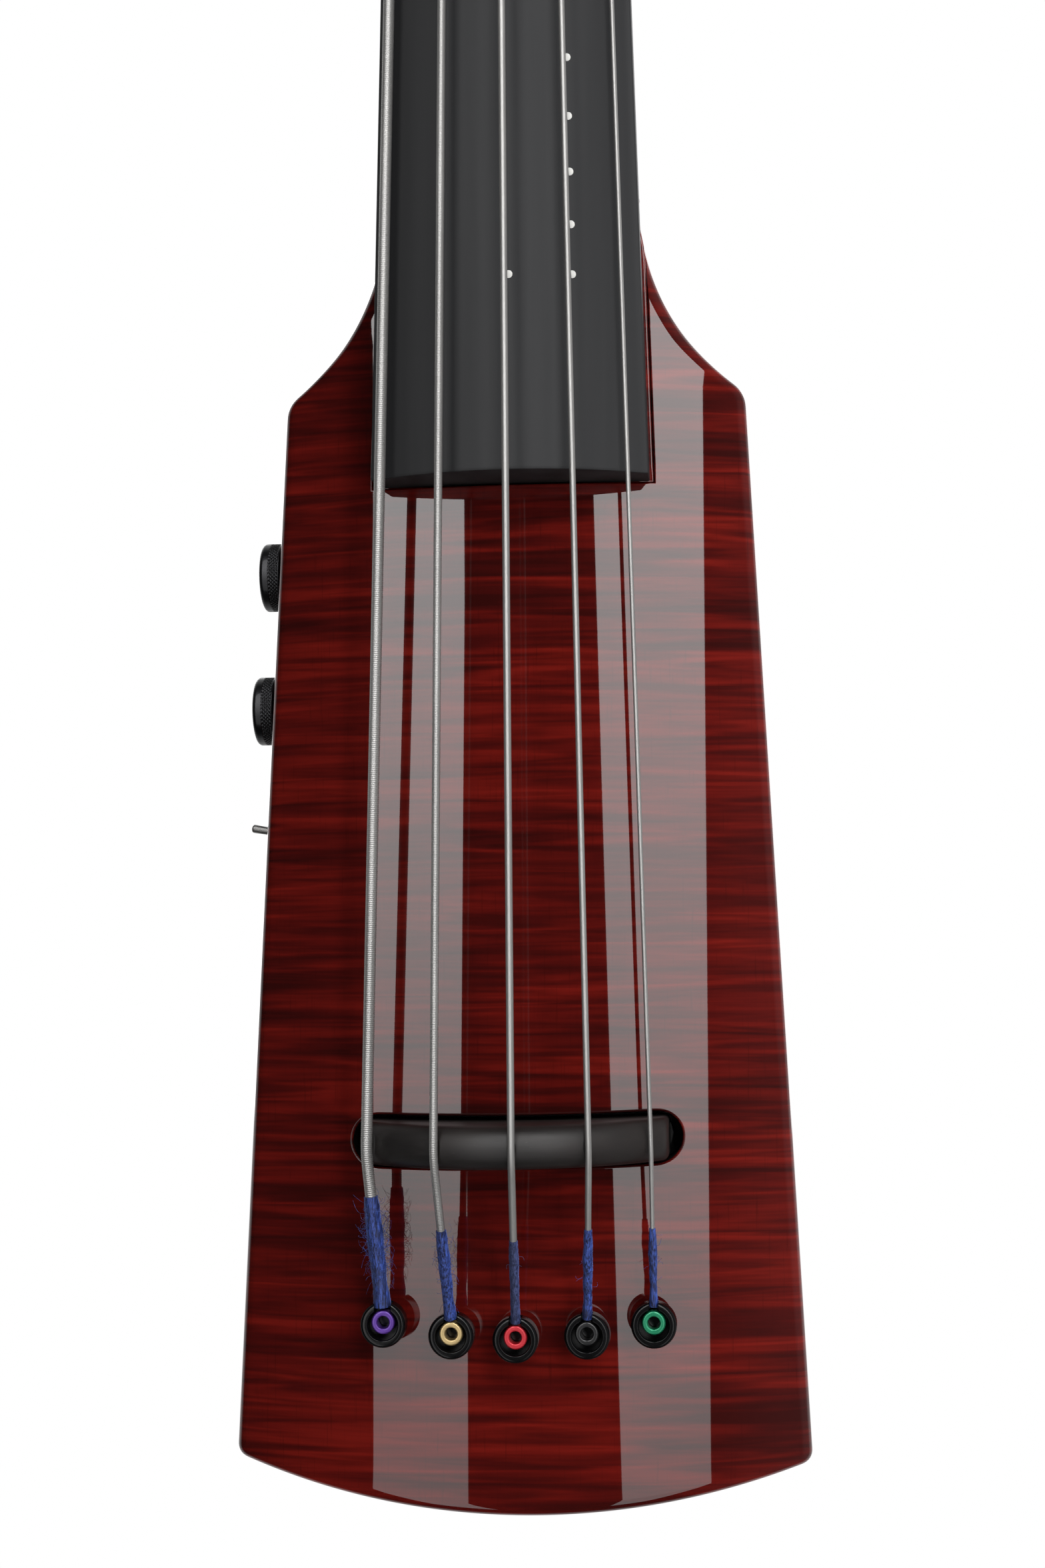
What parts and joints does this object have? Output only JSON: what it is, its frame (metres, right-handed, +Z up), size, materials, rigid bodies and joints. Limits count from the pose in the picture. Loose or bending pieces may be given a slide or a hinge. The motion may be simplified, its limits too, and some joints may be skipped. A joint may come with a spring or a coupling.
{
  "type": "electric upright bass",
  "caption": "Solid-body electric upright bass with a tapered flamed body, fretless arched fingerboard, slotted bridge, post anchors, side controls and a bolt-on stand plate.",
  "frame": {"origin": "centre of the stand plate's outer face on the back of the body", "axes": "+Z up along the neck towards the headstock, +Y out of the back, +X to the treble side"},
  "size_m": [0.1791, 0.0925, 1.3743],
  "materials": {
    "lacquered_maple": "deep red translucent gloss over flamed maple",
    "neck_maple": "deep red satin lacquer",
    "ebony_fingerboard": "matte black",
    "ebony_bridge": "satin black",
    "nut_ebony": "satin black",
    "rod_steel": "plain",
    "screw_steel": "black oxide",
    "pickup_housing": "moulded black",
    "cover_plastic": "moulded black",
    "pot_metal": "zinc plated",
    "knob_metal": "black chrome, knurled",
    "switch_metal": "nickel",
    "jack_metal": "black nickel",
    "plate_metal": "black powder coat",
    "anchor_metal": "gloss black",
    "tuner_metal": "black nickel",
    "string_steel": "round steel winding",
    "ball_purple": "anodised purple",
    "ball_brass": "polished",
    "ball_red": "anodised red",
    "ball_black": "anodised black",
    "ball_green": "anodised green",
    "lead_rubber": "plain",
    "silk_thread": "blue silk wrap",
    "dot_shell": "pale inlay"
  },
  "bodies": {
    "instrument": {"body": "lacquered_maple", "neck": "neck_maple", "fingerboard": "ebony_fingerboard", "nut": "nut_ebony", "truss_rod": "rod_steel", "truss_rod_cover": "cover_plastic", "bridge": "ebony_bridge", "pickup_bar": "pickup_housing", "bridge_screw_bass": "screw_steel", "bridge_screw_treble": "screw_steel", "string_anchor_b": "anchor_metal", "string_anchor_e": "anchor_metal", "string_anchor_a": "anchor_metal", "string_anchor_d": "anchor_metal", "string_anchor_g": "anchor_metal", "ball_end_b": "ball_purple", "ball_end_e": "ball_brass", "ball_end_a": "ball_red", "ball_end_d": "ball_black", "ball_end_g": "ball_green", "string_b": "string_steel", "string_e": "string_steel", "string_a": "string_steel", "string_d": "string_steel", "string_g": "string_steel", "tuner_housing_b": "tuner_metal", "tuner_housing_e": "tuner_metal", "tuner_housing_a": "tuner_metal", "tuner_housing_d": "tuner_metal", "tuner_housing_g": "tuner_metal", "volume_pot": "pot_metal", "tone_pot": "pot_metal", "mode_switch": "switch_metal", "output_jack": "jack_metal", "pickup_lead": "lead_rubber", "jack_lead": "lead_rubber", "control_cover": "cover_plastic", "cover_screw_1": "screw_steel", "cover_screw_2": "screw_steel", "cover_screw_3": "screw_steel", "cover_screw_4": "screw_steel", "stand_plate": "plate_metal", "plate_screw_1": "screw_steel", "plate_screw_2": "screw_steel", "plate_screw_3": "screw_steel", "plate_screw_4": "screw_steel"},
    "tuner_key_b": {"tuner_key_b": "tuner_metal"},
    "tuner_post_b": {"tuner_post_b": "tuner_metal"},
    "tuner_key_e": {"tuner_key_e": "tuner_metal"},
    "tuner_post_e": {"tuner_post_e": "tuner_metal"},
    "tuner_key_a": {"tuner_key_a": "tuner_metal"},
    "tuner_post_a": {"tuner_post_a": "tuner_metal"},
    "tuner_key_d": {"tuner_key_d": "tuner_metal"},
    "tuner_post_d": {"tuner_post_d": "tuner_metal"},
    "tuner_key_g": {"tuner_key_g": "tuner_metal"},
    "tuner_post_g": {"tuner_post_g": "tuner_metal"},
    "volume_knob": {"volume_knob": "knob_metal"},
    "tone_knob": {"tone_knob": "knob_metal"},
    "mode_switch_lever": {"mode_switch_lever": "switch_metal"}
  },
  "joints": [
    {"name": "tuner_key_turn_b", "type": "hinge", "parent": "instrument", "child": "tuner_key_b", "pos_m": [-0.027, -0.04479, 1.07687], "axis": [-1, 0, 0], "continuous": true},
    {"name": "tuner_post_turn_b", "type": "hinge", "parent": "instrument", "child": "tuner_post_b", "pos_m": [-0.027, -0.06824, 1.0696], "axis": [0, -0.9842, 0.1769], "continuous": true},
    {"name": "tuner_key_turn_e", "type": "hinge", "parent": "instrument", "child": "tuner_key_e", "pos_m": [-0.023, -0.03665, 1.12214], "axis": [-1, 0, 0], "continuous": true},
    {"name": "tuner_post_turn_e", "type": "hinge", "parent": "instrument", "child": "tuner_post_e", "pos_m": [-0.023, -0.06011, 1.11488], "axis": [0, -0.9842, 0.1769], "continuous": true},
    {"name": "tuner_key_turn_a", "type": "hinge", "parent": "instrument", "child": "tuner_key_a", "pos_m": [-0.019, -0.02852, 1.16742], "axis": [-1, 0, 0], "continuous": true},
    {"name": "tuner_post_turn_a", "type": "hinge", "parent": "instrument", "child": "tuner_post_a", "pos_m": [-0.019, -0.05197, 1.16015], "axis": [0, -0.9842, 0.1769], "continuous": true},
    {"name": "tuner_key_turn_d", "type": "hinge", "parent": "instrument", "child": "tuner_key_d", "pos_m": [0.023, -0.03259, 1.14478], "axis": [1, 0, 0], "continuous": true},
    {"name": "tuner_post_turn_d", "type": "hinge", "parent": "instrument", "child": "tuner_post_d", "pos_m": [0.023, -0.05604, 1.13752], "axis": [0, -0.9842, 0.1769], "continuous": true},
    {"name": "tuner_key_turn_g", "type": "hinge", "parent": "instrument", "child": "tuner_key_g", "pos_m": [0.027, -0.04072, 1.09951], "axis": [1, 0, 0], "continuous": true},
    {"name": "tuner_post_turn_g", "type": "hinge", "parent": "instrument", "child": "tuner_post_g", "pos_m": [0.027, -0.06417, 1.09224], "axis": [0, -0.9842, 0.1769], "continuous": true},
    {"name": "volume_turn", "type": "hinge", "parent": "instrument", "child": "volume_knob", "pos_m": [-0.07645, -0.022, 0.1365], "axis": [-1, 0, 0], "range_deg": [-140, 140]},
    {"name": "tone_turn", "type": "hinge", "parent": "instrument", "child": "tone_knob", "pos_m": [-0.07853, -0.022, 0.0918], "axis": [-1, 0, 0], "range_deg": [-140, 140]},
    {"name": "mode_switch_tilt", "type": "hinge", "parent": "instrument", "child": "mode_switch_lever", "pos_m": [-0.07942, -0.022, 0.0512], "axis": [0, -1, 0], "range_deg": [0, 20]}
  ],
  "couplings": [
    {"joint": "tuner_post_turn_b", "follows": "tuner_key_turn_b", "ratio": -0.05},
    {"joint": "tuner_post_turn_e", "follows": "tuner_key_turn_e", "ratio": -0.05},
    {"joint": "tuner_post_turn_a", "follows": "tuner_key_turn_a", "ratio": -0.05},
    {"joint": "tuner_post_turn_d", "follows": "tuner_key_turn_d", "ratio": 0.05},
    {"joint": "tuner_post_turn_g", "follows": "tuner_key_turn_g", "ratio": 0.05}
  ]
}
